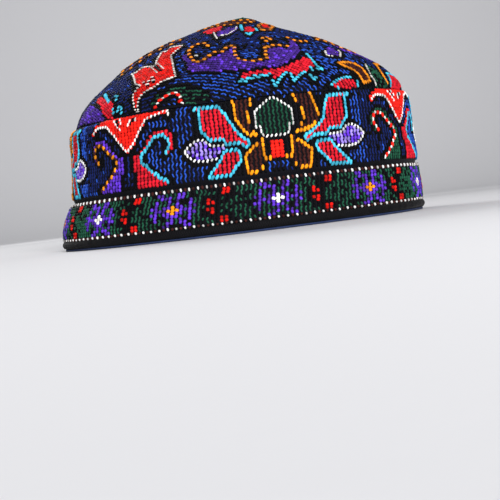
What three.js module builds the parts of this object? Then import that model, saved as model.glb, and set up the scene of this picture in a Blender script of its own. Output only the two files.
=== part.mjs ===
// A soft embroidered skullcap of the tubeteika kind: a domed crown sewn to an upright wall, an embroidered band
// round the foot of the wall, a bound rim under both, and the lining's narrow turned hem inside the rim.
//
// Millimetres, +Z up. The origin is the centre of the rim on the surface that the cap rests on. +X is the
// wearer's front, and -Y is the wearer's right, where one of the four side flowers is worked.

import * as THREE from "three";

// Driving dimensions
const CROWN_CLOTH = 2.0; // thickness of the stitched crown and its backing
const WALL_CLOTH = 2.0; // thickness of the stitched wall and its backing
const BAND_CLOTH = 1.2; // thickness of the band's strip
const HEM_CLOTH = 1.0; // thickness of the lining's turned hem
const GAP = 0.3; // clearance between neighbouring pieces

const BINDING_FOOT = 1.1; // height of the binding's lower edge
const BINDING_TOP = 4.7; // height of the binding's upper edge
const BINDING_INSIDE = 88.5; // radius of the binding's inner face
const BINDING_BULGE = 92.5; // radius of the binding where it stands out most
const BINDING_EDGE_ROUND = 0.9; // how far the bulge draws in at the binding's upper and lower edges

const HEM_LIP = 91.3; // radius that the hem's lip reaches under the binding
const HEM_LIP_TOP = 0.8; // thickness of that lip, which lies on the surface
const HEM_TOP = 14; // how far the hem is turned up inside the wall

const SEGMENTS = 64; // flats round every ring
const CROWN_RINGS = 16; // levels that the crown's smooth outline is cut into
const WALL_RINGS = 9;
const BAND_RINGS = 5;
const HEM_RINGS = 3;
const BINDING_RINGS = 6;

// Outer outlines. Each row is one level: its height above the rim, its radius, and how far its centre sits
// towards the wearer's front, because the soft cap leans and its peak stands forward.
const BAND_SECTIONS = [
  { height: 5.0, radius: 92.1, forward: 0.0 },
  { height: 9.0, radius: 92.0, forward: 0.2 },
  { height: 14.5, radius: 91.2, forward: 1.0 },
  { height: 18.5, radius: 90.1, forward: 1.8 },
  { height: 22.6, radius: 88.9, forward: 3.0 },
];

const WALL_SECTIONS = [
  { height: 24.2, radius: 87.9, forward: 3.1 },
  { height: 27.5, radius: 88.3, forward: 3.5 },
  { height: 35.0, radius: 87.6, forward: 3.9 },
  { height: 47.5, radius: 87.0, forward: 4.1 },
  { height: 54.0, radius: 86.8, forward: 4.1 },
  { height: 57.3, radius: 85.9, forward: 4.3 },
  { height: 58.7, radius: 84.7, forward: 4.5 },
];

const CROWN_SECTIONS = [
  { height: 59.0, radius: 83.6, forward: 4.5 },
  { height: 63.0, radius: 82.6, forward: 5.0 },
  { height: 67.5, radius: 79.8, forward: 4.8 },
  { height: 72.6, radius: 75.1, forward: 4.7 },
  { height: 77.4, radius: 68.7, forward: 4.3 },
  { height: 82.4, radius: 61.2, forward: 3.4 },
  { height: 87.3, radius: 53.7, forward: 2.7 },
  { height: 92.0, radius: 44.8, forward: 2.2 },
  { height: 96.0, radius: 35.4, forward: 2.4 },
  { height: 99.4, radius: 26.2, forward: 3.7 },
  { height: 102.4, radius: 17.8, forward: 5.6 },
  { height: 105.2, radius: 10.5, forward: 8.4 },
  { height: 107.8, radius: 0.0, forward: 12.2 },
];

const COLOURS = {
  embroidery: 0x1f2f6e,
  band: 0x1c2a22,
  binding: 0x0b0b0d,
  lining: 0x1b2444,
};

// Outlines

// A smooth outline through the sections, as vectors of (radius, forward, height).
function outline(sections, rings) {
  const through = sections.map((s) => new THREE.Vector3(s.radius, s.forward, s.height));
  return new THREE.CatmullRomCurve3(through, false, "centripetal").getPoints(rings - 1);
}

// The same outline moved in by a cloth's thickness, square to the cloth.
function movedIn(points, thickness) {
  return points.map((point, i) => {
    const before = points[Math.max(i - 1, 0)];
    const after = points[Math.min(i + 1, points.length - 1)];
    const along = new THREE.Vector2(after.x - before.x, after.z - before.z).normalize();
    const radius = point.x - along.y * thickness;
    const height = point.z + along.x * thickness;
    return new THREE.Vector3(Math.max(radius, 0), point.y, height);
  });
}

// The outline's radius and forward shift at a height, for a piece that lies against it.
function levelAt(points, height) {
  const upper = Math.max(1, points.findIndex((p) => p.z >= height));
  const [low, high] = [points[upper - 1], points[upper]];
  return low.clone().lerp(high, (height - low.z) / (high.z - low.z));
}

// Turns a closed outline round its drifting centre into one closed skin. A point on the axis is one vertex.
function turned(profile) {
  const vertices = [];
  const rings = profile.map(({ x: radius, y: forward, z: height }) => {
    const first = vertices.length / 3;
    const count = radius < 1e-6 ? 1 : SEGMENTS;
    for (let k = 0; k < count; k++) {
      const angle = (2 * Math.PI * k) / SEGMENTS;
      vertices.push(forward + radius * Math.cos(angle), radius * Math.sin(angle), height);
    }
    return (k) => first + (k % count);
  });
  const faces = [];
  rings.forEach((ring, i) => {
    const next = rings[(i + 1) % rings.length];
    for (let k = 0; k < SEGMENTS; k++) {
      if (ring(k) !== ring(k + 1)) faces.push(ring(k), ring(k + 1), next(k));
      if (next(k) !== next(k + 1)) faces.push(ring(k + 1), next(k + 1), next(k));
    }
  });
  const geometry = new THREE.BufferGeometry();
  geometry.setAttribute("position", new THREE.Float32BufferAttribute(vertices, 3));
  geometry.setIndex(faces);
  geometry.computeVertexNormals();
  return geometry;
}

// Pieces

const bandOutside = outline(BAND_SECTIONS, BAND_RINGS);
const bandInside = movedIn(bandOutside, BAND_CLOTH);

// The wall runs down behind the band to the binding, so its lower levels are the band's, moved in.
const behindBand = movedIn(bandOutside, BAND_CLOTH + GAP).map((p) => ({
  height: p.z,
  radius: p.x,
  forward: p.y,
}));
const wallOutside = outline([...behindBand, ...WALL_SECTIONS], WALL_RINGS + BAND_RINGS);
wallOutside[0].z = BINDING_TOP + GAP;
const wallInside = movedIn(wallOutside, WALL_CLOTH).map((p, i, all) =>
  i === 0 || i === all.length - 1 ? p.setZ(wallOutside[i].z) : p,
);

// A shell between an outer and an inner outline, both listed upwards.
const shell = (outside, inside) => turned([...outside, ...inside.slice().reverse()]);

function crown() {
  const outside = outline(CROWN_SECTIONS, CROWN_RINGS);
  const inside = movedIn(outside, CROWN_CLOTH);
  inside[0].z = outside[0].z;
  const peak = outside.length - 1;
  inside[peak].set(0, outside[peak].y, outside[peak].z - CROWN_CLOTH);
  return shell(outside, inside);
}

// A rolled strip of cloth with a bulging outer side, under the wall and the band.
function binding() {
  const profile = [];
  for (let i = 0; i < BINDING_RINGS; i++) {
    const share = i / (BINDING_RINGS - 1);
    const drawnIn = BINDING_EDGE_ROUND * (2 * share - 1) ** 2;
    const height = THREE.MathUtils.lerp(BINDING_FOOT, BINDING_TOP, share);
    profile.push(new THREE.Vector3(BINDING_BULGE - drawnIn, 0, height));
  }
  profile.push(new THREE.Vector3(BINDING_INSIDE, 0, BINDING_TOP));
  profile.push(new THREE.Vector3(BINDING_INSIDE, 0, BINDING_FOOT));
  return turned(profile);
}

// The lining comes down inside the wall and turns out under the binding as a lip that the cap rests on.
function hem() {
  const outside = [
    new THREE.Vector3(HEM_LIP, 0, 0),
    new THREE.Vector3(HEM_LIP, 0, HEM_LIP_TOP),
  ];
  const inside = [];
  const foot = BINDING_TOP + GAP;
  const clearOfBinding = BINDING_INSIDE - GAP;
  outside.push(new THREE.Vector3(clearOfBinding, 0, HEM_LIP_TOP));
  for (let i = 0; i < HEM_RINGS; i++) {
    const height = THREE.MathUtils.lerp(foot, HEM_TOP, i / (HEM_RINGS - 1));
    const wall = levelAt(wallInside, height);
    const radius = Math.min(wall.x - GAP, clearOfBinding);
    outside.push(new THREE.Vector3(radius, wall.y, height));
    inside.push(new THREE.Vector3(radius - HEM_CLOTH, wall.y, height));
  }
  inside.unshift(new THREE.Vector3(clearOfBinding - HEM_CLOTH, 0, 0));
  return shell(outside, inside);
}

// Assembly

function piece(name, geometry, color) {
  const material = new THREE.MeshStandardMaterial({ color, roughness: 0.85, metalness: 0 });
  const mesh = new THREE.Mesh(geometry, material);
  mesh.name = name;
  return mesh;
}

const skullcap = new THREE.Group();
skullcap.add(
  piece("crown", crown(), COLOURS.embroidery),
  piece("side_wall", shell(wallOutside, wallInside), COLOURS.embroidery),
  piece("band", shell(bandOutside, bandInside), COLOURS.band),
  piece("rim_binding", binding(), COLOURS.binding),
  piece("lining_hem", hem(), COLOURS.lining),
);

export default skullcap;
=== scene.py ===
# A soft skullcap of the tubeteika kind. The base cloths, the bound rim and the lining are turned shells.
# The embroidery is sewn stitch by stitch from charts: a wall of flowers and red forks, a band of small
# flowers, and a crown of curls and crescents. Lengths are in mm unless a comment says otherwise.

import math

import bpy
import numpy as np
from mathutils import Matrix


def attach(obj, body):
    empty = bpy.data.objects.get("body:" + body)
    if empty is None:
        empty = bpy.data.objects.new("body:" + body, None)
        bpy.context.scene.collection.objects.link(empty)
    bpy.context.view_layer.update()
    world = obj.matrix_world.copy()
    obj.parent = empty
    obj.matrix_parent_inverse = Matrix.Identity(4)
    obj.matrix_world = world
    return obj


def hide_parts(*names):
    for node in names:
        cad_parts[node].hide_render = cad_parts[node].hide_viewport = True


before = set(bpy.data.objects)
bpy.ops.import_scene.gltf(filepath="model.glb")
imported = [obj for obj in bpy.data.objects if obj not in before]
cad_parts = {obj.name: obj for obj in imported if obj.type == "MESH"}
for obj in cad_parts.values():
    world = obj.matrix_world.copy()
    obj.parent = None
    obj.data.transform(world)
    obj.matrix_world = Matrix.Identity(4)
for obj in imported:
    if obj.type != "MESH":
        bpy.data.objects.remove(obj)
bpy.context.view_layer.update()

MM = 0.001
SEGMENTS = 208  # flats round each turned cloth
random = np.random.default_rng(26)

# Camera

PHOTO_WIDTH = 500  # pixels
FOCAL_LENGTH = 1166.95  # pixels
SENSOR = 36.0
NEAREST_SEEN = 0.01  # metres
CAMERA_AT = (-0.10195, -0.59112, 0.01061)  # metres
HEADING = math.radians(9.93)  # from the +Y axis towards +X
LOOKS_DOWN = math.radians(2.06)
ROLL = math.radians(6.91)


def linked(name, data):
    item = bpy.data.objects.new(name, data)
    bpy.context.scene.collection.objects.link(item)
    return item


def stood(name, data, right, up, back, place):
    """Adds a camera or a lamp at a place, looking away from its back."""
    item = linked(name, data)
    rows = np.column_stack([right, up, back, place])
    item.matrix_world = Matrix([*rows.tolist(), [0, 0, 0, 1]])
    return item


def make_camera():
    data = bpy.data.cameras.new("camera")
    data.sensor_width = SENSOR
    data.lens = SENSOR * FOCAL_LENGTH / PHOTO_WIDTH
    data.clip_start = NEAREST_SEEN
    level = np.array([math.cos(HEADING), -math.sin(HEADING), 0])
    ahead = np.array([math.sin(HEADING), math.cos(HEADING), 0]) * math.cos(LOOKS_DOWN)
    ahead[2] = -math.sin(LOOKS_DOWN)
    upright = np.cross(level, ahead)
    right = level * math.cos(ROLL) - upright * math.sin(ROLL)
    up = level * math.sin(ROLL) + upright * math.cos(ROLL)
    bpy.context.scene.camera = stood("camera", data, right, up, -ahead, CAMERA_AT)


# Turned cloth outlines. Each row is a height, a radius, and how far the centre sits forward.

BAND_SECTIONS = [
    (5.0, 92.1, 0.0),
    (9.0, 92.0, 0.2),
    (14.5, 91.2, 1.0),
    (18.5, 90.1, 1.8),
    (22.6, 88.9, 3.0),
]
BEHIND_BAND = 1.5  # how far the wall lies behind the band's face
WALL_SECTIONS = [
    (24.2, 87.9, 3.1),
    (27.5, 88.3, 3.5),
    (35.0, 87.6, 3.9),
    (47.5, 87.0, 4.1),
    (54.0, 86.8, 4.1),
    (57.3, 85.9, 4.3),
    (58.7, 84.7, 4.5),
]
CROWN_SECTIONS = [
    (59.0, 83.6, 4.5),
    (63.0, 82.6, 5.0),
    (67.5, 79.8, 4.8),
    (72.6, 75.1, 4.7),
    (77.4, 68.7, 4.3),
    (82.4, 61.2, 3.4),
    (87.3, 53.7, 2.7),
    (92.0, 44.8, 2.2),
    (96.0, 35.4, 2.4),
    (99.4, 26.2, 3.7),
    (102.4, 17.8, 5.6),
    (105.2, 10.5, 8.4),
    (107.8, 0.0, 12.2),
]
CROWN_CLOTH = 2.0  # thickness, with the stitches
WALL_CLOTH = 2.0
BAND_CLOTH = 1.2
STITCH_RELIEF = 0.55  # how far the stitches stand out of a cloth, within its thickness


def smoothed(rows, steps=12):
    """A smooth curve through rows of numbers, as points close together."""
    rows = np.array(rows, float)
    ends = np.vstack([2 * rows[0] - rows[1], rows, 2 * rows[-1] - rows[-2]])
    t = np.linspace(0, 1, steps, endpoint=False)[:, None]
    curve = []
    for before, start, end, after in zip(ends, ends[1:], ends[2:], ends[3:]):
        first = np.linalg.norm(start - before) ** 0.5
        middle = np.linalg.norm(end - start) ** 0.5
        last = np.linalg.norm(after - end) ** 0.5
        leave = (start - before) / first - (end - before) / (first + middle) + (end - start) / middle
        arrive = (end - start) / middle - (after - start) / (middle + last) + (after - end) / last
        from_start = start * (2 * t**3 - 3 * t**2 + 1) + leave * middle * (t**3 - 2 * t**2 + t)
        to_end = end * (3 * t**2 - 2 * t**3) + arrive * middle * (t**3 - t**2)
        curve.append(from_start + to_end)
    return np.vstack([*curve, rows[-1:]])


def running(steps):
    """How far along a line each of its places lies, from the steps between them."""
    return np.concatenate([[0.0], np.cumsum(steps)])


class Outline:
    """The outside of a turned cloth. A place on it is a run up along it and an angle round it."""

    def __init__(self, sections):
        self.levels = smoothed(sections)
        self.run = running(np.hypot(*np.diff(self.levels[:, :2], axis=0).T))
        self.slope = np.gradient(self.levels, self.run, axis=0)
        self.length = self.run[-1]

    def run_at(self, height):
        return np.interp(height, self.levels[:, 0], self.run)

    def at(self, run, angle, lift=0.0):
        """Places lifted off the cloth, and the directions straight out of it."""
        height, radius, forward = (np.interp(run, self.run, column) for column in self.levels.T)
        rise, spread, lean = (np.interp(run, self.run, column) for column in self.slope.T)
        across, along = np.cos(angle), np.sin(angle)
        place = np.stack([forward + radius * across, radius * along, height], axis=-1)
        out = np.stack([rise * across, rise * along, -(spread + lean * across)], axis=-1)
        out /= np.linalg.norm(out, axis=-1, keepdims=True)
        return place + out * np.asarray(lift)[..., None], out


band = Outline(BAND_SECTIONS)
crown = Outline(CROWN_SECTIONS)
wall = Outline([(h, r - BEHIND_BAND, f) for h, r, f in BAND_SECTIONS] + WALL_SECTIONS)

# Materials

SHEEN_ROUGHNESS = 0.4
WEAVE_RELIEF = 0.5  # beside the relief of the wear
LEAST_ROUGHNESS = 0.65
WORN_ROUGHNESS = 0.3  # what wear adds to it


def linear(colour):
    """A screen colour from 0 to 255 as the linear colour that a shader takes."""
    share = np.array(colour) / 255
    return [*np.where(share < 0.04045, share / 12.92, ((share + 0.055) / 1.055) ** 2.4), 1.0]


def set_inputs(node, **values):
    for name, value in values.items():
        node.inputs[name.replace("_", " ")].default_value = value


def new_material(name, roughness, sheen, shine):
    material = bpy.data.materials.new(name)
    material.use_nodes = True
    shader = material.node_tree.nodes["Principled BSDF"]
    set_inputs(shader, Roughness=roughness, Sheen_Weight=sheen, Specular_IOR_Level=shine)
    set_inputs(shader, Sheen_Roughness=SHEEN_ROUGHNESS)
    return material, material.node_tree, shader


def add_bump(tree, shader, height, strength, depth):
    bump = tree.nodes.new("ShaderNodeBump")
    set_inputs(bump, Strength=strength, Distance=depth * MM)
    tree.links.new(height, bump.inputs["Height"])
    tree.links.new(bump.outputs["Normal"], shader.inputs["Normal"])


def object_noise(tree, scale, detail):
    place = tree.nodes.new("ShaderNodeTexCoord")
    noise = tree.nodes.new("ShaderNodeTexNoise")
    set_inputs(noise, Scale=scale, Detail=detail)
    tree.links.new(place.outputs["Object"], noise.inputs["Vector"])
    return noise.outputs["Fac"]


def thread_material(name, colour):
    """Silk thread: one even colour, a soft shine, and a fine bump of twisted fibres."""
    material, tree, shader = new_material(name, roughness=0.7, sheen=0.01, shine=0.06)
    set_inputs(shader, Base_Color=linear(colour))
    add_bump(tree, shader, object_noise(tree, scale=2600, detail=2), strength=0.3, depth=0.15)
    return material


def arithmetic(tree, operation, first, second):
    node = tree.nodes.new("ShaderNodeMath")
    node.operation = operation
    for socket, value in zip(node.inputs, (first, second)):
        if isinstance(value, (int, float)):
            socket.default_value = value
        else:
            tree.links.new(value, socket)
    return node.outputs["Value"]


def woven_material(name, dark, light, pitch, twill=0.0):
    """Woven cotton. The cloth's own map is in mm, so pitch is the distance between its threads."""
    material, tree, shader = new_material(name, roughness=0.85, sheen=0.03, shine=0.08)
    place = tree.nodes.new("ShaderNodeUVMap")
    place.uv_map = "cloth"
    parts = tree.nodes.new("ShaderNodeSeparateXYZ")
    tree.links.new(place.outputs["UV"], parts.inputs["Vector"])
    across, along = parts.outputs["X"], parts.outputs["Y"]
    leant = arithmetic(tree, "ADD", across, arithmetic(tree, "MULTIPLY", along, twill))
    turn = 2 * math.pi / pitch
    weave = arithmetic(tree, "SINE", arithmetic(tree, "MULTIPLY", leant, turn), 0.0)
    if not twill:
        weft = arithmetic(tree, "SINE", arithmetic(tree, "MULTIPLY", along, turn), 0.0)
        weave = arithmetic(tree, "MULTIPLY", weave, weft)
    worn = object_noise(tree, scale=220, detail=4)
    height = arithmetic(tree, "ADD", arithmetic(tree, "MULTIPLY", weave, WEAVE_RELIEF), worn)
    tint = tree.nodes.new("ShaderNodeValToRGB")
    for end, colour in zip(tint.color_ramp.elements, (dark, light)):
        end.color = linear(colour)
    tree.links.new(height, tint.inputs["Fac"])
    tree.links.new(tint.outputs["Color"], shader.inputs["Base Color"])
    rougher = arithmetic(tree, "MULTIPLY", worn, WORN_ROUGHNESS)
    rough = arithmetic(tree, "ADD", rougher, LEAST_ROUGHNESS)
    tree.links.new(rough, shader.inputs["Roughness"])
    add_bump(tree, shader, height, strength=0.6, depth=0.2)
    return material


canvas_cloth = woven_material("dark_canvas", dark=(5, 5, 8), light=(15, 15, 22), pitch=0.9)
lining_cloth = woven_material("navy_lining", dark=(26, 34, 60), light=(50, 64, 100), pitch=0.7)
binding_cloth = woven_material("black_binding", dark=(3, 3, 4), light=(20, 20, 23), pitch=1.1, twill=0.8)

# Threads: the colour on a screen's scale of 0 to 255, how much of the step between ribs a stitch fills, and
# how high it stands
THREADS = {
    "blue": ((38, 78, 178), 0.4, 0.4),
    "navy": ((18, 30, 82), 0.42, 0.4),
    "black": ((6, 6, 9), 0.6, 0.5),
    "red": ((236, 32, 22), 1.05, 0.65),
    "crimson": ((200, 26, 42), 0.82, 0.65),
    "scarlet": ((200, 22, 16), 0.84, 0.6),
    "cyan": ((64, 174, 204), 0.8, 0.6),
    "white": ((216, 216, 214), 0.54, 0.6),
    "pearl": ((196, 192, 188), 0.54, 0.6),
    "violet": ((94, 52, 194), 0.76, 0.6),
    "lilac": ((146, 126, 214), 0.72, 0.6),
    "iris": ((90, 50, 184), 0.78, 0.6),
    "plum": ((64, 37, 124), 0.64, 0.55),
    "ivory": ((240, 238, 230), 1.0, 0.6),
    "orange": ((234, 144, 20), 1.0, 0.6),
    "amber": ((216, 128, 26), 0.7, 0.6),
    "brown": ((60, 28, 25), 0.66, 0.55),
    "green": ((28, 76, 56), 0.46, 0.55),
    "grass": ((24, 68, 50), 0.56, 0.6),
}
TONES = (0.82, 1.0, 1.1)  # a thread takes the light a little differently from stitch to stitch
TONE_SHARES = (0.3, 0.45, 0.25)
thread_tones = {}
for thread, (colour, _, _) in THREADS.items():
    thread_tones[thread] = [
        thread_material(f"thread_{thread}_{i}", np.minimum(np.array(colour) * tone, 255))
        for i, tone in enumerate(TONES)
    ]


# Pieces

ON_AXIS = 1e-6  # a ring with a smaller radius is one point
MAP_RADIUS = 10  # the weave keeps its width nearer to the axis than this


def new_mesh(name, corners, faces, materials, finish):
    """A smooth mesh, from corners in mm and each face's place in the list of materials."""
    mesh = bpy.data.meshes.new(name)
    mesh.from_pydata((np.array(corners) * MM).tolist(), [], faces)
    for material in materials:
        mesh.materials.append(material)
    mesh.polygons.foreach_set("material_index", finish)
    mesh.polygons.foreach_set("use_smooth", [True] * len(faces))
    mesh.update()
    return mesh


def new_piece(name, mesh):
    piece = linked(name, mesh)
    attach(piece, "root")
    return piece


def ringed(profile, segments):
    """The corners of rings about the axis, and each ring as places in that list, back to its first."""
    corners = []
    rings = []
    for radius, forward, height in profile:
        count = segments if radius > ON_AXIS else 1
        angle = np.arange(count) * 2 * math.pi / segments
        circle = forward + radius * np.cos(angle), radius * np.sin(angle), np.full(count, height)
        rings.append([len(corners) + k % count for k in range(segments + 1)])
        corners.extend(zip(*circle))
    return corners, rings


def turned(name, profile, materials, inside_from=None, segments=SEGMENTS):
    """Turns a closed profile of (radius, forward, height) places into a skin.
    Rows of faces from inside_from on take the second material."""
    profile = np.array(profile, float)
    corners, rings = ringed(profile, segments)
    run = running(np.hypot(*np.diff(profile[:, [0, 2]], axis=0).T))
    faces = []
    places = []
    finish = []
    for row, ring in enumerate(rings):
        following = rings[(row + 1) % len(rings)]
        far = run[(row + 1) % len(rings)]
        around = 2 * math.pi / segments * max(profile[row][0], MAP_RADIUS)
        for k in range(segments):
            face = [ring[k], ring[k + 1], following[k + 1], following[k]]
            left, right = k * around, (k + 1) * around
            spots = [(left, run[row]), (right, run[row]), (right, far), (left, far)]
            keep = [i for i in range(4) if face[i] != face[i - 1]]
            faces.append([face[i] for i in keep])
            places.extend(spots[i] for i in keep)
            finish.append(int(inside_from is not None and row >= inside_from))
    mesh = new_mesh(name, corners, faces, materials, finish)
    cloth_map = mesh.uv_layers.new(name="cloth")
    cloth_map.data.foreach_set("uv", np.array(places).ravel())
    return new_piece(name, mesh)


def moved_in(outline, depth):
    """An outline's levels moved straight in, as (radius, forward, height) places."""
    out = outline.at(outline.run, 0.0)[1]
    side = np.hypot(out[:, 0], out[:, 2])
    radius = np.maximum(outline.levels[:, 1] - depth * out[:, 0] / side, 0)
    height = outline.levels[:, 0] - depth * out[:, 2] / side
    return np.column_stack([radius, outline.levels[:, 2], height])


def shell(name, outline, thickness):
    """A cloth with its stitched face set in by the relief, and a lined inside. If it closes over the top,
    both faces end on the axis."""
    outside = moved_in(outline, STITCH_RELIEF)
    inside = moved_in(outline, thickness)
    top, radius, forward = outline.levels[-1]
    if radius == 0:
        outside[-1] = (0, forward, top - STITCH_RELIEF)
        inside[-1] = (0, forward, top - thickness)
    inside[0, 2] = outside[0, 2]
    profile = [*outside, *inside[::-1]]
    return turned(name, profile, [canvas_cloth, lining_cloth], inside_from=len(outside))


# Stitches. A stitch is a low grain of thread: four stations along it, each of four places across it.

GRAIN_ALONG = np.array([-0.5, -0.27, 0.27, 0.5])
GRAIN_FULLNESS = np.array([0.45, 1.0, 1.0, 0.45])
GRAIN_RISE = np.array([0.15, 1.0, 1.0, 0.15])
GRAIN_ACROSS = np.array([-0.5, -0.28, 0.28, 0.5])
GRAIN_HEIGHT = np.array([0.0, 1.0, 1.0, 0.0])
GRAIN_CORNERS = 16
GRAIN_SIDES = [
    (4 * i + j, 4 * i + 4 + j, 4 * i + 4 + (j + 1) % 4, 4 * i + (j + 1) % 4)
    for i in range(3)
    for j in range(4)
]
GRAIN_FACES = np.array(GRAIN_SIDES + [(0, 1, 2, 3), (15, 14, 13, 12)])

SLANT = 24  # degrees that a filling's stitch leans off its rib
FILL_OVERLAP = 1.3  # a filling's stitch, as a share of the step to the next one
LINE_STEP = 2.0  # from stitch to stitch along a line
LINE_LEAN = 0.35  # how far a line's stitches lean off the ribs, as a share of the line's own lean
STEEPEST = 60  # a line that leans further to the left, in degrees, counts as leaning right
ALONG_RIB = np.array([2.5, 1.45, 0.65])  # a stitch of a line along the ribs: length, width and height
ACROSS_RIB = np.array([2.45, 1.65, 0.65])  # the same in a line across the ribs
FILL_INSET = 1.1  # how far inside its outline an edged filling begins
EDGE_INSET = 0.7  # how far inside its outline an edge is laid
LINE_LIFT = 0.2  # how far a line's stitches lie above the filling's foot
UNDER_LINE = 0.5  # from place to place where a line looks for bare ground

# How uneven the work is, as a spread about what is meant
LEAN_SPREAD = 4  # degrees
COLUMN_SPREAD = 0.03
ROW_SPREAD = 0.05
FILL_SPREAD = 0.06  # of a filling stitch's size
LINE_SPREAD = 0.07  # of a line stitch's size


def unit(vectors):
    return vectors / np.linalg.norm(vectors, axis=-1, keepdims=True)


def sewn(name, threads, middle, along, out, size):
    """Joins stitches into one piece. Each has a thread, a middle, a direction along it, and its size in mm
    as (length, width, height)."""
    side = np.cross(out, along)
    reach = along[:, None, None] * (GRAIN_ALONG[None, :, None, None] * size[:, None, None, :1])
    spread = np.outer(GRAIN_FULLNESS, GRAIN_ACROSS)[None, :, :, None] * size[:, None, None, 1:2]
    lift = np.outer(GRAIN_RISE, GRAIN_HEIGHT)[None, :, :, None] * size[:, None, None, 2:]
    corners = middle[:, None, None] + reach + side[:, None, None] * spread + out[:, None, None] * lift
    faces = GRAIN_FACES[None] + GRAIN_CORNERS * np.arange(len(middle))[:, None, None]
    used = sorted(set(threads))
    materials = [material for thread in used for material in thread_tones[thread]]
    tone = random.choice(len(TONES), size=len(threads), p=TONE_SHARES)
    finish = np.repeat(np.searchsorted(used, threads) * len(TONES) + tone, len(GRAIN_FACES))
    mesh = new_mesh(name, corners.reshape(-1, 3), faces.reshape(-1, 4).tolist(), materials, finish)
    return new_piece(name, mesh)


def within(corners, column, row):
    """Which places are inside a closed outline."""
    inside = np.zeros(np.shape(column), bool)
    for (x0, y0), (x1, y1) in zip(corners, np.roll(corners, -1, axis=0)):
        if y0 != y1:
            crossing = x0 + (row - y0) * (x1 - x0) / (y1 - y0)
            inside ^= ((y0 > row) != (y1 > row)) & (column < crossing)
    return inside


class Chart:
    """A grid of stitches with the thread of each, and lines of stitches laid over it. Columns lie along the
    ribs of the embroidery. The steps are from rib to rib and from stitch to stitch."""

    def __init__(self, columns, rows, steps, joined=False, middle=(0, 0)):
        self.thread = np.full((rows, columns), "blue", dtype="U8")
        self.worked = np.zeros((rows, columns), bool)
        self.steps = np.array(steps)
        self.joined = joined  # the last column meets the first
        self.middle = np.array(middle)  # the grid's place of (0, 0)
        self.lines = []

    def indices(self, columns, rows):
        """The places that are on the grid, as its indices."""
        columns = np.asarray(columns, int) + self.middle[0]
        rows = np.asarray(rows, int) + self.middle[1]
        if self.joined:
            columns = columns % self.thread.shape[1]
        on = (rows >= 0) & (rows < self.thread.shape[0]) & (columns >= 0) & (columns < self.thread.shape[1])
        return rows[on], columns[on]

    def work(self, columns, rows, thread):
        place = self.indices(columns, rows)
        self.thread[place] = thread
        self.worked[place] = True

    def fill(self, corners, thread, *edge):
        """Works every stitch inside a closed outline in place of what was there, and lays a line of the
        edge's threads just inside it."""
        corners = np.array(corners, float)
        self.lines = self.lines_outside(corners)
        filled = self.drawn_in(corners, FILL_INSET) if edge else corners
        low = np.floor(filled.min(axis=0)).astype(int)
        high = np.ceil(filled.max(axis=0)).astype(int)
        column, row = np.meshgrid(np.arange(low[0], high[0] + 1), np.arange(low[1], high[1] + 1))
        inside = within(filled, column, row)
        self.work(column[inside], row[inside], thread)
        if edge:
            border = self.drawn_in(corners, EDGE_INSET)
            self.line(np.vstack([border, border[:1]]), *edge)

    def lines_outside(self, corners):
        """The stitches of earlier lines that a closed outline leaves uncovered."""
        places = np.array([line[:2] for line in self.lines]).reshape(-1, 2)
        covered = within(corners, places[:, 0], places[:, 1])
        return [line for line, under in zip(self.lines, covered) if not under]

    def drawn_in(self, corners, inset):
        """A closed outline moved in by an inset in mm."""
        places = corners * self.steps
        following = np.roll(places, -1, axis=0)
        way = unit(places - np.roll(places, 1, axis=0)) + unit(following - places)
        left = np.column_stack([-way[:, 1], way[:, 0]])
        area = (places[:, 0] * following[:, 1] - following[:, 0] * places[:, 1]).sum()
        return (places + unit(left + 1e-9) * np.sign(area) * inset) / self.steps

    def line(self, corners, *threads):
        """Lays stitches along a line, with the threads in turn. Bare ground under it is worked in black."""
        corners = np.array(corners, float)
        run = running(np.linalg.norm(np.diff(corners, axis=0) * self.steps, axis=1))
        count = max(1, round(run[-1] / LINE_STEP))
        ends = np.arange(count + 1) * run[-1] / count

        def at(runs):
            return np.column_stack([np.interp(runs, run, part) for part in corners.T])

        places = at((ends[:-1] + ends[1:]) / 2)
        ways = np.diff(at(ends), axis=0) * self.steps
        for i, (place, way) in enumerate(zip(places, ways)):
            self.lines.append((*place, *way, threads[i % len(threads)]))
        close = np.arange(0, run[-1] + UNDER_LINE, UNDER_LINE)
        place = self.indices(*at(close).round().T)
        self.thread[place] = np.where(self.worked[place], self.thread[place], "black")
        self.worked[place] = True

    def contour(self):
        """Works one black stitch round everything that has been worked."""
        near = np.zeros_like(self.worked)
        for axis in (0, 1):
            for step in (-1, 1):
                near |= np.roll(self.worked, step, axis=axis)
        self.thread[near & ~self.worked] = "black"

    def uneven(self, *changes):
        """Gives a share of a thread's stitches another thread, as in a hand-dyed ground. Where the share
        changes from place to place, it is painted shade.
        """
        for thread, other, share in changes:
            swap = (self.thread == thread) & (random.random(self.thread.shape) < share)
            self.thread[swap] = other


class Work:
    """Works motifs into a chart. on_grid turns a motif's points into (column, row) places."""

    def __init__(self, chart, on_grid):
        self.chart = chart
        self.on_grid = on_grid

    def fill(self, points, thread, *edge):
        self.chart.fill(self.on_grid(points), thread, *edge)

    def lines(self, edges, *threads):
        for edge in edges:
            self.chart.line(self.on_grid(edge), *threads)


def steps_at(surface, column, row):
    """The steps along a rib and from rib to rib at places on a surface."""
    up = surface(column, row + 0.5)[0] - surface(column, row - 0.5)[0]
    across = surface(column + 0.5, row)[0] - surface(column - 0.5, row)[0]
    return up, across


def leaning(up, across, out, degrees):
    """Directions on the cloth that lean off the ribs by some degrees."""
    lean = np.radians(degrees + random.normal(0, LEAN_SPREAD, len(out)))[:, None]
    along = unit(up) * np.cos(lean) + unit(across) * np.sin(lean)
    return unit(along - out * (along * out).sum(axis=1, keepdims=True))


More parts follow.
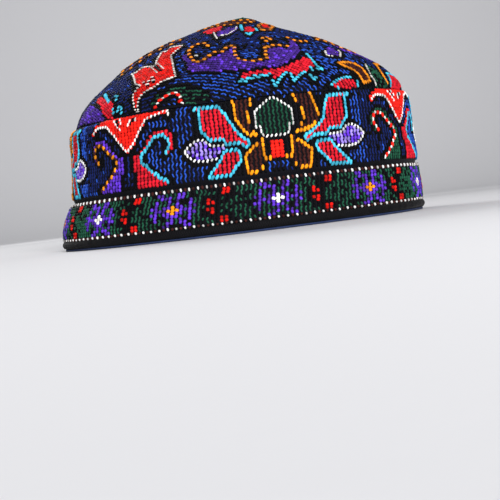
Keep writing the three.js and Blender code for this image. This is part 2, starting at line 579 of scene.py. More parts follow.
def sew_filling(name, chart, surface, chosen):
    """Sews a chart's chosen stitches. surface gives the place and outward direction for a column and a row.
    The stitches lean one way and the other by turns up each rib."""
    rows, columns = np.nonzero(chosen)
    count = len(rows)
    threads = chart.thread[rows, columns]
    column = columns - chart.middle[0] + random.normal(0, COLUMN_SPREAD, count)
    row = rows - chart.middle[1] + random.normal(0, ROW_SPREAD, count)
    middle, out = surface(column, row)
    up, across = steps_at(surface, column, row)
    along = leaning(up, across, out, np.where(rows % 2, SLANT, -SLANT))
    looks = np.array([THREADS[thread][1:] for thread in threads])
    size = np.column_stack([
        np.linalg.norm(up, axis=1) * FILL_OVERLAP,
        np.linalg.norm(across, axis=1) * looks[:, 0],
        looks[:, 1],
    ])
    size *= random.normal(1, FILL_SPREAD, size.shape)
    return sewn(name, threads, middle, along, out, size)


def sew_lines(name, chart, surface, shares):
    """Sews the lines that are laid over a chart. Their stitches stand nearly along the ribs, whichever way
    the line runs. shares makes those of a thread finer, and shorter where they stand across the line."""
    column, row, way_across, way_along = np.array([line[:4] for line in chart.lines]).T
    threads = np.array([line[4] for line in chart.lines])
    middle, out = surface(column, row)
    up, across = steps_at(surface, column, row)
    angle = (np.degrees(np.arctan2(way_across, way_along)) + STEEPEST) % 180 - STEEPEST
    along = leaning(up, across, out, angle * LINE_LEAN)
    crossing = np.abs(np.sin(np.radians(angle)))
    size = ALONG_RIB + (ACROSS_RIB - ALONG_RIB) * crossing[:, None]
    share = np.array([shares.get(thread, 1.0) for thread in threads])
    size[:, 0] *= 1 - (1 - share) * crossing
    size[:, 1] *= share
    size *= random.normal(1, LINE_SPREAD, size.shape)
    return sewn(name, threads, middle + out * LINE_LIFT, along, out, size)


FIRST_COLUMN = math.radians(-90)  # on the side of the cap that the photo shows


def ring_surface(outline, foot, step, columns):
    """A turned cloth as a surface to sew on, with columns round it and rows up from a foot."""

    def surface(column, row):
        angle = FIRST_COLUMN + column * 2 * math.pi / columns
        return outline.at(outline.run_at(foot + step * row), angle, lift=-STITCH_RELIEF)

    return surface


# The wall's chart: flowers and red forks in turn, with a curl either side of each fork

WALL_COLUMNS = 276
WALL_ROWS = 22
WALL_FOOT = 25.8  # height of the lowest row
WALL_STEP = 1.53  # from row to row
WALL_RIB_STEP = 2.0  # from rib to rib
FLOWERS = ((0, 1, 1.085), (72, 0.95, 0.95), (137, 0.95, 0.95), (203, 0.95, 0.95))  # axis, reach each way
FORKS = (-36, 38.5, 105, 170)
FORK_SHADE = (-16, 4)  # columns from a fork's axis where the ground is dark, partly its own darker ground and partly painted shade
WALL_NAVY = 0.3  # share of the blue ground that is navy
FORK_NAVY = 0.85  # the same by a fork, where the extra navy is partly painted shade
FORK_BLACK = 0.7  # share of the rest that is black there, also partly painted shade
WALL_UNEVEN = (("violet", "plum", 0.2), ("lilac", "violet", 0.5))

# The left half of a flower, by columns from its axis and by rows. The right half mirrors it, apart from
# what is listed for it below.
BELL = [
    (0, 21.6), (1.5, 20.5), (2.5, 19.5), (3.5, 18.5), (4.5, 17.5), (4.5, 12.5), (3.5, 12.4), (3.5, 10.5),
    (2.5, 9.5),
]
CUP = (4, 5, 6, 7, 8)  # rows of the small square under the bell
UPPER_RIBBON = [
    (9, 22), (8.6, 15.5), (7.8, 13), (6, 10.5), (4.8, 10.5), (5.4, 13), (5.9, 17.8), (5, 18.8), (5, 22),
]
UPPER_RIBBON_EDGES = [
    [(9.3, 21.6), (8.7, 20), (8.6, 15.8), (7.8, 14), (7, 12.2), (6, 10.8), (4, 10.6)],
    [(5, 21.8), (5, 18.8)],
    [(5.9, 17.8), (5.7, 14)],
    [(5, 12), (4.9, 10.6)],
]
LOWER_LOBE = [(3.2, 9.6), (5.4, 7.2), (7.3, 5), (6.9, -0.4), (4.5, -0.4), (3.5, 1.1), (2.7, 3), (3.1, 5)]
LOWER_LOBE_EDGES = [
    [(3.2, 9.6), (3.1, 4.7), (2.6, 3)],
    [(1.8, 3.6)],
    [(4.1, 8.2), (5.4, 7.2), (6.3, 6), (7.3, 5), (6.8, 0), (4.5, 0)],
    [(3.6, 1.1)],
]
PETAL_SIDE = [(6.4, 7), (8.4, 8.5), (11.5, 8.6), (12, 10.2), (15, 10.2), (16, 12), (17, 13.4), (17, 19.4)]
UPPER_PETAL = [
    (18.5, 20.4), (12, 20.4), (11.4, 19), (10.3, 17.5), (10, 16), (9.2, 14.5), (8.6, 12.7), (7.8, 11.6),
    (6.9, 10.3), (5.6, 9), *PETAL_SIDE,
]
PETAL_TAIL = [(9.4, 11), (8.2, 9.8), (7.2, 8.8), (6.5, 8)]
LOWER_PETAL = [
    (12, 7.5), (9, 7.5), (8, 6.2), (8, 3.2), (9.2, 2), (10.3, -0.4), (15.8, -0.4), (15.3, 1.5), (14.2, 3),
    (13, 5), (12.5, 6.3),
]
LEAF = [
    (20.4, 8), (19.7, 9.2), (18.7, 10.1), (17.5, 10.7), (16.4, 10.5), (15.5, 9.4), (14.6, 8.5), (11.9, 8.2),
    (12.6, 6.4), (13.6, 5.6), (16.2, 5.2), (18.5, 5.7), (19.8, 6.9),
]
LEAF_EDGE = [
    (11.5, 8.7), (14.5, 8.9), (15.4, 9.8), (16.3, 10.9), (17.6, 11.1), (19, 10.4), (20.2, 9.2), (20.8, 8),
    (20, 6.6), (18.6, 5.3), (16.2, 4.8), (13.2, 5.2),
]

# The right half's own parts, which lean outwards
RIGHT_PETAL = [
    (18.5, 20.4), (12.3, 20.4), (11.4, 18), (10.9, 16), (10.6, 14), (9.8, 12.6), (8.5, 11.2), (7.2, 10.1),
    (5.7, 9), *PETAL_SIDE,
]
RIGHT_RIBBON = [
    (8.3, 22), (9.9, 14.2), (9, 12.3), (7.4, 10.8), (5, 10.2), (4.8, 11.4), (6.5, 13), (6.3, 17.6),
    (5.3, 18.6), (4.5, 22),
]
RIGHT_RIBBON_EDGES = [
    [(8.4, 21.8), (9.2, 17.5), (9.9, 14.3)],
    [(9, 12.6), (7.9, 11.4), (6.3, 10.8), (4.2, 10.4)],
    [(4.5, 21.8), (5.2, 18.8)],
    [(6.1, 17.4), (6.5, 13.6)],
    [(5.7, 12.4)],
]
RIGHT_LOWER_PETAL = [
    (12.1, 7.5), (9, 7.5), (8, 6.4), (8.6, 4), (9.8, 2.4), (11.6, -0.4), (16.8, -0.4), (15.9, 1.2),
    (14.7, 2.8), (13.5, 4.6), (12.6, 6),
]

# A fork, by columns from its axis
FORK_LEFT = [(-1, 11.9), (-2, 13.4), (-2.8, 14.6), (-3.9, 16.5), (-5, 17.8), (-5.7, 18.8), (-6.6, 19.4)]
FORK_RIGHT = [(1.3, 12.2), (2.2, 13.2), (3.1, 14.7), (3.7, 15.8), (4.6, 17.1), (5.4, 18.4)]
FORK = [
    (0, 10.4), *FORK_LEFT, (-9.5, 19.4), (-11.9, 17.6), (-12.2, 18.4), (-10.9, 20.4), (-8, 21.6),
    (11.2, 21.6), (11.2, 20.6), (7.3, 19.9), (6, 19.4), *FORK_RIGHT[::-1],
]
FORK_EDGES = [
    [(0, 10.8), *FORK_LEFT, (-9.5, 19.6), (-10.7, 19.1), (-11.9, 17.8)],
    [(0, 10.8), *FORK_RIGHT, (6, 19.6), (7.3, 20), (9, 20.4), (10.5, 21), (11.8, 21), (12, 19.4)],
    [(-4.2, 21), (-1.3, 17.4)],
    [(-2.2, 21.3), (-1, 19)],
    [(0.8, 18.2), (1.6, 20.2)],
    [(2.8, 19.2), (3.4, 20.8)],
]
FORK_SLITS = [[(-3.2, 21), (-1.8, 18.6)], [(1.7, 18.6), (2.5, 20.4)]]

# A curl on a fork's right side. Mirrored on the left, its inner line leans to the fork at the foot.
LEFT_LEAN = 0.17  # columns a row
LEFT_LEANS_FROM = 9  # row
CURL_OUTER = [
    (2.3, -0.5), (2.2, 3.4), (1.5, 6), (1.5, 9), (3, 9.9), (4.4, 11.2), (5.4, 12.5), (6.3, 14.2),
    (7.8, 15.2), (9.7, 15.7), (11.1, 15.5), (12.1, 14.2), (13, 12.9), (12.9, 10.6), (11.9, 9.6),
    (11.8, 8.2),
]
CURL_INNER = [
    (10.4, 8.4), (11.1, 9.9), (11.8, 11.6), (11.1, 12.9), (10.2, 14.2), (7.8, 13.9), (6.8, 12.5),
    (5.8, 11.2), (5.1, 10.3), (3.9, 9.3), (3.9, 6.7), (5.4, 5.7), (6.1, 4.4), (7.3, 3.4), (8.3, 2.7),
    (8.4, 2.1), (9.5, 1.3), (10.7, 0.8), (10.8, -0.2),
]
CURL_THREADS = {"violet": ("orange", "brown"), "green": ("red", "white"), "crimson": ("cyan",)}


def beside(axis, reach=1, lean=0):
    """Sets points given by columns from an axis, or from its left where reach is below zero."""

    def on_grid(points):
        return [(axis + reach * x - lean * (y - LEFT_LEANS_FROM), y) for x, y in points]

    return on_grid


def work_half_flower(work, petal, ribbon, ribbon_edges, lower_petal):
    work.fill(petal, "crimson", "cyan")
    work.lines([PETAL_TAIL], "crimson")
    work.fill(lower_petal, "crimson", "cyan")
    work.fill(LEAF, "lilac")
    work.lines([LEAF_EDGE], "white")
    work.fill(ribbon, "brown")
    work.fill(LOWER_LOBE, "brown")
    work.lines(ribbon_edges + LOWER_LOBE_EDGES, "orange")


def work_flower(chart, axis, left, right):
    half = Work(chart, beside(axis, -left))
    work_half_flower(half, UPPER_PETAL, UPPER_RIBBON, UPPER_RIBBON_EDGES, LOWER_PETAL)
    half = Work(chart, beside(axis, right))
    work_half_flower(half, RIGHT_PETAL, RIGHT_RIBBON, RIGHT_RIBBON_EDGES, RIGHT_LOWER_PETAL)
    whole_bell = BELL + [(-x, y) for x, y in reversed(BELL[1:])]
    Work(chart, beside(axis)).fill(whole_bell, "grass", "white")
    for row in CUP:
        chart.work([axis - 1, axis, axis + 1], [row] * 3, "red")


def work_fork(chart, axis, left, right):
    left_outer = beside(axis, -1)(CURL_OUTER)
    left_inner = beside(axis, -1, LEFT_LEAN)(CURL_INNER)
    chart.fill(left_outer + left_inner, left)
    chart.line(left_inner, *CURL_THREADS[left])
    work = Work(chart, beside(axis))
    work.fill(CURL_OUTER + CURL_INNER, right)
    work.lines([CURL_INNER], *CURL_THREADS[right])
    work.fill(FORK, "red")
    work.lines(FORK_EDGES, "white")
    work.lines(FORK_SLITS, "black")


def wall_chart():
    chart = Chart(WALL_COLUMNS, WALL_ROWS, (WALL_RIB_STEP, WALL_STEP), joined=True)
    for i, axis in enumerate(FORKS):
        work_fork(chart, axis, left=("violet", "green")[i % 2], right="crimson")
    for axis, left, right in FLOWERS:
        work_flower(chart, axis, left, right)
    chart.contour()
    # The ground by each fork is darker: partly its own ground, partly painted shade.
    shaded = by_a_fork()
    chart.uneven(
        ("blue", "navy", np.where(shaded, FORK_NAVY, WALL_NAVY)),
        ("blue", "black", np.where(shaded, FORK_BLACK, 0)),
        *WALL_UNEVEN,
    )
    return chart


def by_a_fork():
    """Which columns of the wall lie by a fork, from its left curl to just past its tip. The ground there is
    darkened, partly as painted shade.
    """
    column = np.arange(WALL_COLUMNS)
    past = np.array([(column - axis - FORK_SHADE[0]) % WALL_COLUMNS for axis in FORKS])
    return (past < FORK_SHADE[1] - FORK_SHADE[0]).any(axis=0)


wall_surface = ring_surface(wall, WALL_FOOT, WALL_STEP, WALL_COLUMNS)

# The band's chart: g green, v violet, r red, k black, and o a flower's middle, white and orange by turns

BAND_REPEAT = [
    "ggggvvgggvvggggggkkrrkg",
    "gggggvvvgvvgggggggkrrkg",
    "ggggvggvgvggvggggkkkkgg",
    "ggggvggvgvggvggkrkkgggg",
    "gggvvgvvovvgvvgkrrkgggg",
    "ggggvvvooovvvgggkkkgggg",
    "gggvvgvvovvgvvgkrrkgggg",
    "ggggvggvvvggvggkkrkgggg",
    "ggggvgggvgvgvgggkkkkkgg",
    "gggggggvvgvvgggggkkrrkg",
    "ggggggvvgggvvgggggkrrkg",
]
BAND_THREADS = {"g": "green", "v": "iris", "r": "scarlet", "k": "black"}
BAND_MIDDLES = ("ivory", "orange")
BAND_COLUMNS = 276
BAND_FLOWER = 8  # column of the repeat with the flower's middle
BAND_FLOWERS = (0, 23, 46, 69, 92, 115, 138, 161, 184, 210, 232, 253)  # where the repeats' flowers stand
BAND_TOP_ROW = 20.3  # height
BAND_STEP = 1.36  # from row to row
BAND_RIB_STEP = 2.1  # from rib to rib
EDGING_HEIGHTS = {"upper_edging": 22.1, "lower_edging": 5.3}  # the two rows of white and brown dots
BAND_UNEVEN = (("green", "black", 0.25), ("iris", "plum", 0.2))


def band_chart():
    rows = len(BAND_REPEAT)
    chart = Chart(BAND_COLUMNS, rows, (BAND_RIB_STEP, BAND_STEP), joined=True)
    chart.thread[:] = "green"
    chart.worked[:] = True
    for repeat, axis in enumerate(BAND_FLOWERS):
        for down, letters in enumerate(BAND_REPEAT):
            for i, letter in enumerate(letters):
                thread = BAND_THREADS.get(letter, BAND_MIDDLES[repeat % 2])
                chart.work([axis + i - BAND_FLOWER], [rows - 1 - down], thread)
    chart.uneven(*BAND_UNEVEN)
    return chart


def edging_chart():
    chart = Chart(BAND_COLUMNS, 1, (BAND_RIB_STEP, BAND_STEP), joined=True)
    chart.thread[:] = np.tile(("white", "brown"), BAND_COLUMNS // 2)
    chart.worked[:] = True
    return chart


band_foot = BAND_TOP_ROW - BAND_STEP * (len(BAND_REPEAT) - 1)
band_surface = ring_surface(band, band_foot, BAND_STEP, BAND_COLUMNS)

# The crown's chart. Its places are in mm on the crown laid flat, from the peak: forward, and away from the
# side with the first flower. As one number, away is its imaginary part. The crescents stand on all four
# sides, and the rest on two, turned half way round.

CROWN_RIB = math.radians(-33)  # which way the ribs of stitches run
CROWN_RIB_STEP = 2.0  # from rib to rib
CROWN_STITCH_STEP = 1.5  # from stitch to stitch along a rib
CROWN_HALF_COLUMNS = 52
CROWN_HALF_ROWS = 69
CROWN_NAVY = ((35, 85), (0.9, 0.25))  # mm from the peak, and the share of the blue that is navy there: painted shade, darker towards the peak
CROWN_BLACK = ((35, 85), (0.8, 0.1))  # the same for the share of the rest that is black, also painted shade
CROWN_ENDS = ((30, 68), (0, 0.85))  # mm to the front or the back, and the least of both shares there: painted shade towards the front and the back
CROWN_UNEVEN = (("violet", "plum", 0.85), ("green", "black", 0.35))
END_CRESCENTS = (82, 243)  # degrees from the first flower's crescent to those at the front and the back

CRESCENT = [
    (-33, -51), (-34, -56), (-34, -62), (-35.5, -67), (-34, -71), (-31, -74), (-26, -78), (-20, -80),
    (-14, -82), (-9, -83.5), (0, -83), (7, -83.5), (10, -82), (15, -78), (20, -73), (24, -66), (25, -60),
    (24.5, -54), (23, -51), (21.5, -58), (20.5, -62), (18, -64), (14.5, -63.5), (12, -64), (7.5, -66),
    (6.5, -69), (5.5, -73), (4.5, -77), (1, -77.5), (-4.5, -78), (-8.5, -75.5), (-10, -72), (-9, -66),
    (-7.5, -60.5), (-10.5, -61), (-13, -63), (-17, -64), (-22, -65), (-26, -66.5), (-31, -66),
    (-31.5, -60), (-31, -54),
]
CRESCENT_DOTS = [
    [(-19, -53), (-20, -47), (-24, -46), (-28, -48.5), (-30, -54), (-30.5, -64.5), (-26.5, -65.5),
     (-23, -63.5), (-18.5, -61), (-14, -62.5), (-11, -58.5), (-7, -59), (-9, -64.5), (-10.5, -71.5),
     (-8.5, -75), (-4.5, -77), (1, -76.5), (5, -75), (4.5, -71), (6.5, -67.5), (7, -62.5), (9.5, -64),
     (12.5, -61), (16, -62), (20, -62)],
    [(8.5, -54), (10.5, -51), (13.5, -53), (10, -57), (8.5, -54)],
    [(22, -49), (26.5, -53.5), (32.5, -50)],
]
CRESCENT_FLECKS = [[(-28.5, -58), (-26.5, -59)]]
CLAW = [
    (-13, -85.5), (-10, -85), (0, -85.5), (8, -85.5), (12, -83), (18, -79), (23, -73.5), (25, -73),
    (26, -78), (27, -81.5), (24.5, -83), (23, -85.5), (21, -86), (18, -87.5), (15, -90), (14, -89.5),
    (12.5, -87), (9, -88.5), (5, -91), (3.5, -91.5), (2.5, -89), (-5, -88), (-13, -88.5),
]
CLAW_EDGES = [
    [(-15, -91), (-13, -89.2), (-11.5, -91), (-9.5, -88.8), (-8, -90.6), (-6, -88.6), (-4.5, -90.2),
     (-2.5, -88.4), (-1, -90), (2.5, -88)],
    [(2, -92), (2.5, -96.5), (6, -92), (11, -87.5)],
    [(12.5, -88), (13, -93.5), (17, -89.5), (21, -86.5)],
    [(22.5, -88), (24, -91.5), (26, -89)],
    [(26, -69), (27, -77), (28, -81), (31, -83), (27, -83.5)],
    [(24, -82), (25, -86)],
]
BRANCH = [
    (-69.5, -71), (-69.5, -68.5), (-67.5, -63), (-66, -60), (-62, -57.5), (-60.5, -58), (-62.5, -54),
    (-61.5, -47), (-60.5, -40), (-60, -36.5), (-57, -39), (-54, -37.5), (-52, -39.5), (-49.5, -44),
    (-48, -48), (-46, -42), (-43, -38), (-40.5, -34), (-38, -37), (-35, -33.5), (-33, -35), (-29, -40),
    (-31, -42), (-35, -45), (-37.5, -47), (-39, -55), (-40.5, -61), (-41.5, -66), (-42.5, -70),
    (-45, -69.5), (-50, -68), (-55, -68), (-60, -66.5), (-63, -66.5), (-66, -69), (-68, -73),
]
BRANCH_SLIT = [(-48, -46), (-47.5, -57)]
SLIT_EDGE = 2  # from the slit to the line either side of it
BRANCH_CHECKS = [(-58, -57.5), (-55.5, -59.5), (-53, -58), (-57, -61.5), (-53.5, -61.5)]
CHECK_STEP = 1.6  # from a white stitch to the black one under it
GREEN_CURL = [
    (-62, -77), (-60, -75), (-55, -73.5), (-48, -76), (-43, -79), (-38, -83), (-34, -88), (-31, -93),
    (-35, -93), (-42, -90.5), (-45, -88), (-46, -84), (-46.5, -80.5), (-50, -78), (-55, -77), (-60, -77.5),
]
GREEN_CURL_EDGE = [
    (-60, -79), (-56, -77.5), (-50, -78.5), (-46.5, -80), (-45.5, -84), (-46.5, -86), (-45, -88),
]
SIDE_VIOLET = [(-98, -12), (-86, -20), (-84.5, -35), (-84.5, -45), (-86, -52), (-92, -42)]
SIDE_CLAW = [
    (-83, -28), (-80, -28), (-78, -36), (-78.5, -45), (-76, -49.5), (-78, -52), (-80, -55), (-80.5, -59),
    (-84, -53), (-84, -47), (-82.5, -38),
]
SIDE_CLAW_EDGES = [
    [(-77, -32), (-77.5, -40), (-78, -47)],
    [(-74, -46.5), (-72.5, -49), (-75, -52)],
    [(-78, -53), (-80, -57)],
    [(-78, -59), (-75, -57.5), (-74.5, -60), (-76.5, -63)],
]
TOP_LEAF = [(-11, -41), (-10, -33), (-3, -27), (0, -29), (-1, -35), (-6, -42)]
TOP_LEAF_EDGES = [[(-12, -33), (-12.5, -46)], [(-10, -42), (-6, -42.5), (-1, -35), (0, -28)]]
TOP_DIAMOND = [(3.5, -39), (4, -31), (6, -28), (9, -33), (8.5, -39), (6, -41)]
TOP_DIAMOND_EDGES = [[(2.3, -24), (2.3, -38)], [(3, -43), (4, -47), (6, -43)], [(9.7, -39), (9.7, -33)]]
TOP_RED = [(-17, -25), (-13, -20), (-8, -20), (-8, -31), (-14, -33)]
TOP_ARCS = [
    [(-64, -22), (-56, -25), (-50, -26), (-44, -25), (-38, -27), (-30, -27), (-27, -22)],
    [(-62, -14), (-50, -17), (-40, -17), (-30, -16)],
    [(40, -40), (46, -34), (54, -30), (60, -33)],
]
TOP_STRIP = [(12, -38), (11, -26), (14, -15), (18, -11), (22, -18), (20, -28), (17, -38)]
TOP_STRIP_RED = [(14, -30), (14, -18), (18, -15), (18, -28)]
TOP_RING = [
    (-20, -8), (-10, -17), (-4, -22), (0, -20), (4, -20), (10, -15), (9, -9), (4, -12), (0, -12), (-8, -9),
]
PEAK = [(-8, -4), (-3, -9), (3, -9), (8, -4), (8, 0), (-8, 0)]

# The corner flower. Its far leaf lies over the corner's diagonal.
CORNER_LEAF = [
    (38, -64), (39.5, -59), (41.5, -53), (44, -50), (46, -51), (46, -57), (44.5, -62), (41.5, -63),
]
CORNER_LEAF_EDGES = [
    [(41, -66), (37, -67.5), (38.5, -60)],
    [(48, -51), (47.5, -56), (45, -64)],
]
CORNER_RIBBON = [
    (40.5, -74), (43, -71), (46, -69), (48.5, -67.5), (52, -66.5), (56, -68), (58, -71), (60, -76),
    (58, -78.5), (54.5, -81), (52, -77), (49, -75), (45.5, -75),
]
CORNER_BELL = [
    (60.5, -71), (59.5, -64), (59.5, -59.5), (64, -59.5), (71, -60.5), (75, -66), (70, -70), (66, -75),
]
CORNER_BELL_EDGE = [(59.5, -60), (59.5, -64), (60.5, -71), (65, -74.5)]
CORNER_PETAL = [
    (35, -91.5), (37.5, -88.5), (42.5, -84.5), (48, -82), (51.5, -83.5), (49.5, -86.5), (44.5, -90),
    (39, -92.5),
]
CORNER_PETAL_EDGES = [
    [(34, -92), (37.5, -88), (42.5, -84), (47, -81.5)],
    [(38, -90.5), (40, -92)],
    [(50.5, -81.5), (52, -84.5)],
]
FAR_RIBBON = [(72.5, -41), (68, -49), (69.5, -55.5), (70.5, -60), (72, -63), (74.5, -63.5)]
FAR_PETAL = [
    (75, -51), (83, -39.5), (87, -36), (90, -39), (86.5, -50), (81, -58.5), (77.5, -62), (76, -56.5),
]
FAR_PETAL_EDGE = [(83, -39.5), (75, -51), (76, -56.5), (77.5, -62)]


def turned_by(degrees):
    """Sets points of the flat crown after a turn about the peak."""
    turn = np.exp(1j * (math.radians(degrees) - CROWN_RIB))

    def on_grid(points):
        places = np.array(points, float) @ (1, 1j) * turn
        return np.column_stack([places.imag / CROWN_RIB_STEP, places.real / CROWN_STITCH_STEP])

    return on_grid


def work_crescent(work):
    work.fill(CRESCENT, "violet")
    work.lines(CRESCENT_DOTS, "amber", "brown")
    work.lines(CRESCENT_FLECKS, "white")
    work.fill(CLAW, "crimson")
    work.lines(CLAW_EDGES, "cyan")


def work_left_side(work):
    work.fill(SIDE_VIOLET, "violet")
    work.fill(SIDE_CLAW, "crimson")
    work.lines(SIDE_CLAW_EDGES, "cyan")


def work_corner_flower(work):
    work.fill([(-y, -x) for x, y in CORNER_LEAF], "violet")
    work.fill(CORNER_LEAF, "violet")
    work.lines(CORNER_LEAF_EDGES, "pearl")
    work.fill(CORNER_PETAL, "crimson")
    work.lines(CORNER_PETAL_EDGES, "cyan")
    work.fill(CORNER_RIBBON, "brown", "amber")
    work.fill(CORNER_BELL, "green")
    work.lines([CORNER_BELL_EDGE], "pearl")
    work.lines([FAR_RIBBON], "amber")
    work.fill(FAR_PETAL, "crimson")
    work.lines([FAR_PETAL_EDGE], "cyan")


def work_branch(work):
    work.fill(GREEN_CURL, "green")
    work.lines([GREEN_CURL_EDGE], "red", "white")
    work.fill(BRANCH, "scarlet", "pearl")
    for side in (-SLIT_EDGE, SLIT_EDGE):
        work.lines([[(x + side, y) for x, y in BRANCH_SLIT]], "pearl")
    work.lines([BRANCH_SLIT], "black")
    for x, y in BRANCH_CHECKS:
        work.lines([[(x, y)]], "white")
        work.lines([[(x, y - CHECK_STEP)]], "black")


def work_top(work):
    work.lines(TOP_ARCS, "amber", "brown", "brown")
    work.fill(TOP_RED, "crimson")
    work.fill(TOP_STRIP, "brown", "amber", "brown")
    work.fill(TOP_STRIP_RED, "scarlet")
    work.fill(TOP_RING, "brown", "amber", "brown")
    work.fill(TOP_LEAF, "violet")
    work.lines(TOP_LEAF_EDGES, "pearl")
    work.fill(TOP_DIAMOND, "crimson")
    work.lines(TOP_DIAMOND_EDGES, "cyan")
    work.fill(PEAK, "green")


def crown_chart():
    chart = Chart(
        2 * CROWN_HALF_COLUMNS + 1,
        2 * CROWN_HALF_ROWS + 1,
        (CROWN_RIB_STEP, CROWN_STITCH_STEP),
        middle=(CROWN_HALF_COLUMNS, CROWN_HALF_ROWS),
    )
    for end in END_CRESCENTS:
        work_crescent(Work(chart, turned_by(end)))
    for half in (0, 180):
        work = Work(chart, turned_by(half))
        for motif in (work_left_side, work_corner_flower, work_branch, work_crescent, work_top):
            motif(work)
    chart.contour()
    places = chart_on_crown(chart)
    # The ground darkens towards the peak and towards the front and the back: painted shade.
    end_shade = np.interp(np.abs(places.real), *CROWN_ENDS)
    chart.uneven(
        *CROWN_UNEVEN,
        ("blue", "navy", np.maximum(np.interp(np.abs(places), *CROWN_NAVY), end_shade)),
        ("blue", "black", np.maximum(np.interp(np.abs(places), *CROWN_BLACK), end_shade)),
    )
    return chart


def chart_on_crown(chart):
    """Where each of the chart's stitches lies on the flat crown."""
    row, column = np.indices(chart.thread.shape)
    return on_crown(column - CROWN_HALF_COLUMNS, row - CROWN_HALF_ROWS)


def on_crown(column, row):
    return (row * CROWN_STITCH_STEP + 1j * column * CROWN_RIB_STEP) * np.exp(1j * CROWN_RIB)


def crown_surface(column, row):
    place = on_crown(column, row)
    return crown.at(crown.length - np.abs(place), np.angle(place), lift=-STITCH_RELIEF)


# Cap

GROUND = ("blue", "navy", "black")
CROWN_MARGIN = 0.4  # from the last stitches to the crown's edge

# How large a line's stitches are by thread, as a share of the others
ON_CROWN = {"white": 0.54, "pearl": 0.46, "amber": 0.9, "cyan": 0.8}
ON_WALL = {"white": 0.66, "crimson": 0.75}

crown_base = shell("crown_cloth", crown, CROWN_CLOTH)
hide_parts("crown")
wall_base = shell("wall_cloth", wall, WALL_CLOTH)
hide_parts("side_wall")
band_base = shell("band_cloth", band, BAND_CLOTH)
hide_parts("band")

chart = crown_chart()
is_ground = np.isin(chart.thread, GROUND)
is_black = chart.thread == "black"
on_cloth = np.abs(chart_on_crown(chart)) < crown.length - CROWN_MARGIN
crown_parts = {
    "crown_black_stitches": is_black,
    "crown_ground_stitches": is_ground & ~is_black,
    "crown_motif_stitches": ~is_ground,
}
for name, chosen in crown_parts.items():
    sew_filling(name, chart, crown_surface, on_cloth & chosen)
sew_lines("crown_line_stitches", chart, crown_surface, ON_CROWN)

chart = wall_chart()
is_ground = np.isin(chart.thread, GROUND)
wall_stitches = [
    sew_filling("wall_ground_stitches", chart, wall_surface, is_ground),
    sew_filling("wall_motif_stitches", chart, wall_surface, ~is_ground),
    sew_lines("wall_line_stitches", chart, wall_surface, ON_WALL),
]

chart = band_chart()
band_stitches = [sew_filling("band_stitches", chart, band_surface, chart.worked)]
chart = edging_chart()
for name, height in EDGING_HEIGHTS.items():
    surface = ring_surface(band, height, BAND_STEP, BAND_COLUMNS)
    band_stitches.append(sew_filling(name, chart, surface, chart.worked))

# Rim

BINDING_FOOT = 1.1
BINDING_TOP = 4.7
BINDING_INSIDE = 88.5
BINDING_BULGE = 92.5
BINDING_ROUND = 0.9  # how far the bulge falls back at the top and the foot
BINDING_POINTS = 12
BINDING_SEGMENTS = 624
PUCKER_DEPTH = 0.16
PUCKERS = ((53, 0.4), (89, 0.35), (127, 0.25))  # waves round the rim, and each one's share of the depth


def pucker(piece):
    """Gathers the binding's outside into small waves round the rim."""
    places = np.array([corner.co for corner in piece.data.vertices])
    angle = np.arctan2(places[:, 1], places[:, 0])
    radius = np.hypot(places[:, 0], places[:, 1])
    wave = sum(share * np.sin(count * angle + random.uniform(0, 2 * math.pi)) for count, share in PUCKERS)
    loose = (radius / MM - BINDING_INSIDE) / (BINDING_BULGE - BINDING_INSIDE)
    places[:, :2] *= (1 + PUCKER_DEPTH * MM * wave * loose / radius)[:, None]
    piece.data.vertices.foreach_set("co", places.ravel())
    piece.data.update()


binding_height = np.linspace(BINDING_FOOT, BINDING_TOP, BINDING_POINTS)
binding_radius = BINDING_BULGE - BINDING_ROUND * np.linspace(-1, 1, BINDING_POINTS) ** 2
binding_profile = [(radius, 0, height) for radius, height in zip(binding_radius, binding_height)]
binding_profile += [(BINDING_INSIDE, 0, BINDING_TOP), (BINDING_INSIDE, 0, BINDING_FOOT)]
binding = turned("binding", binding_profile, [binding_cloth], segments=BINDING_SEGMENTS)
pucker(binding)
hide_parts("rim_binding")

HEM_LIP = 91.3
HEM_LIP_TOP = 0.8
HEM_FACE = 88.2
HEM_CLOTH = 1.0
HEM_UPPER = [(5.0, 88.2, 0.0), (9.5, 88.0, 0.3), (14.0, 87.4, 0.9)]
hem_profile = [(HEM_LIP, 0, 0), (HEM_LIP, 0, HEM_LIP_TOP), (HEM_FACE, 0, HEM_LIP_TOP)]
hem_profile += [(r, f, h) for h, r, f in HEM_UPPER]
hem_profile += [(r - HEM_CLOTH, f, h) for h, r, f in reversed(HEM_UPPER)]
hem_profile += [(HEM_FACE - HEM_CLOTH, 0, 0)]
hem = turned("lining_hem_cloth", hem_profile, [lining_cloth])
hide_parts("lining_hem")

# Stage, with its lamps in metres

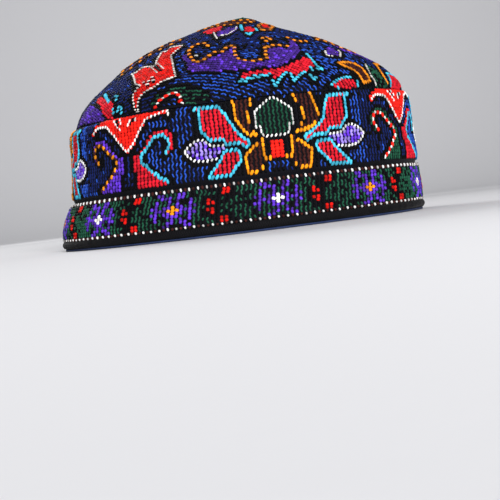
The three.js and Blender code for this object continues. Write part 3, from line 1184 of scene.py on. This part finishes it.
FLOOR_MIDDLE = 500
FLOOR_FLAT = 1300
FLOOR_CURVE = 900  # radius of its rise into the backdrop
FLOOR_RISE = 75  # degrees that it turns up
FLOOR_BENDS = 24
FLOOR_SEGMENTS = 96
FLOOR_DROP = 0.2  # below the cap's foot
PAPER = (0.74, 0.74, 0.76, 1)
SKY = (0.98, 0.98, 1.0, 1)
SKY_STRENGTH = 0.37
LIT = (0, 0, 0.05)  # where the lamps point
BACKDROP_LIT = (0.5, 2.2, 0.7)


def make_stage():
    material, tree, shader = new_material("studio_paper", roughness=0.9, sheen=0.0, shine=0.1)
    set_inputs(shader, Base_Color=PAPER)
    add_bump(tree, shader, object_noise(tree, scale=300, detail=3), strength=0.1, depth=0.2)
    bends = np.radians(np.linspace(0, FLOOR_RISE, FLOOR_BENDS))
    profile = [(0, 0, 0), (FLOOR_MIDDLE, 0, 0)]
    profile += [(FLOOR_FLAT + FLOOR_CURVE * math.sin(b), 0, FLOOR_CURVE * (1 - math.cos(b))) for b in bends]
    corners, rings = ringed(profile, FLOOR_SEGMENTS)
    faces = []
    for inner, outer in zip(rings, rings[1:]):
        for k in range(FLOOR_SEGMENTS):
            face = [inner[k], outer[k], outer[k + 1], inner[k + 1]]
            faces.append(list(dict.fromkeys(face)))
    floor = linked("floor", new_mesh("floor", corners, faces, [material], [0] * len(faces)))
    floor.location.z = -FLOOR_DROP * MM


def make_light(name, place, size, power, spread, aim=LIT):
    data = bpy.data.lights.new(name, "AREA")
    data.size = size
    data.energy = power
    data.spread = math.radians(spread)
    back = unit(np.array(place) - aim)
    side = unit(np.cross((0, 0, 1), back))
    light = stood(name, data, side, np.cross(back, side), back, place)
    light.visible_camera = False


def make_lights():
    make_light("key", (0.05, -1.24, 0.34), size=0.35, power=1.8, spread=50)
    make_light("back", (-0.4, 1.5, 0.8), size=0.8, power=2.6, spread=60)
    make_light("backdrop", (0.2, 0.7, 0.6), size=1.2, power=4.4, spread=120, aim=BACKDROP_LIT)
    world = bpy.data.worlds.new("studio")
    world.use_nodes = True
    sky = world.node_tree.nodes["Background"]
    set_inputs(sky, Color=SKY, Strength=SKY_STRENGTH)
    bpy.context.scene.world = world
    bpy.context.scene.view_settings.view_transform = "Standard"


make_camera()
make_stage()
make_lights()
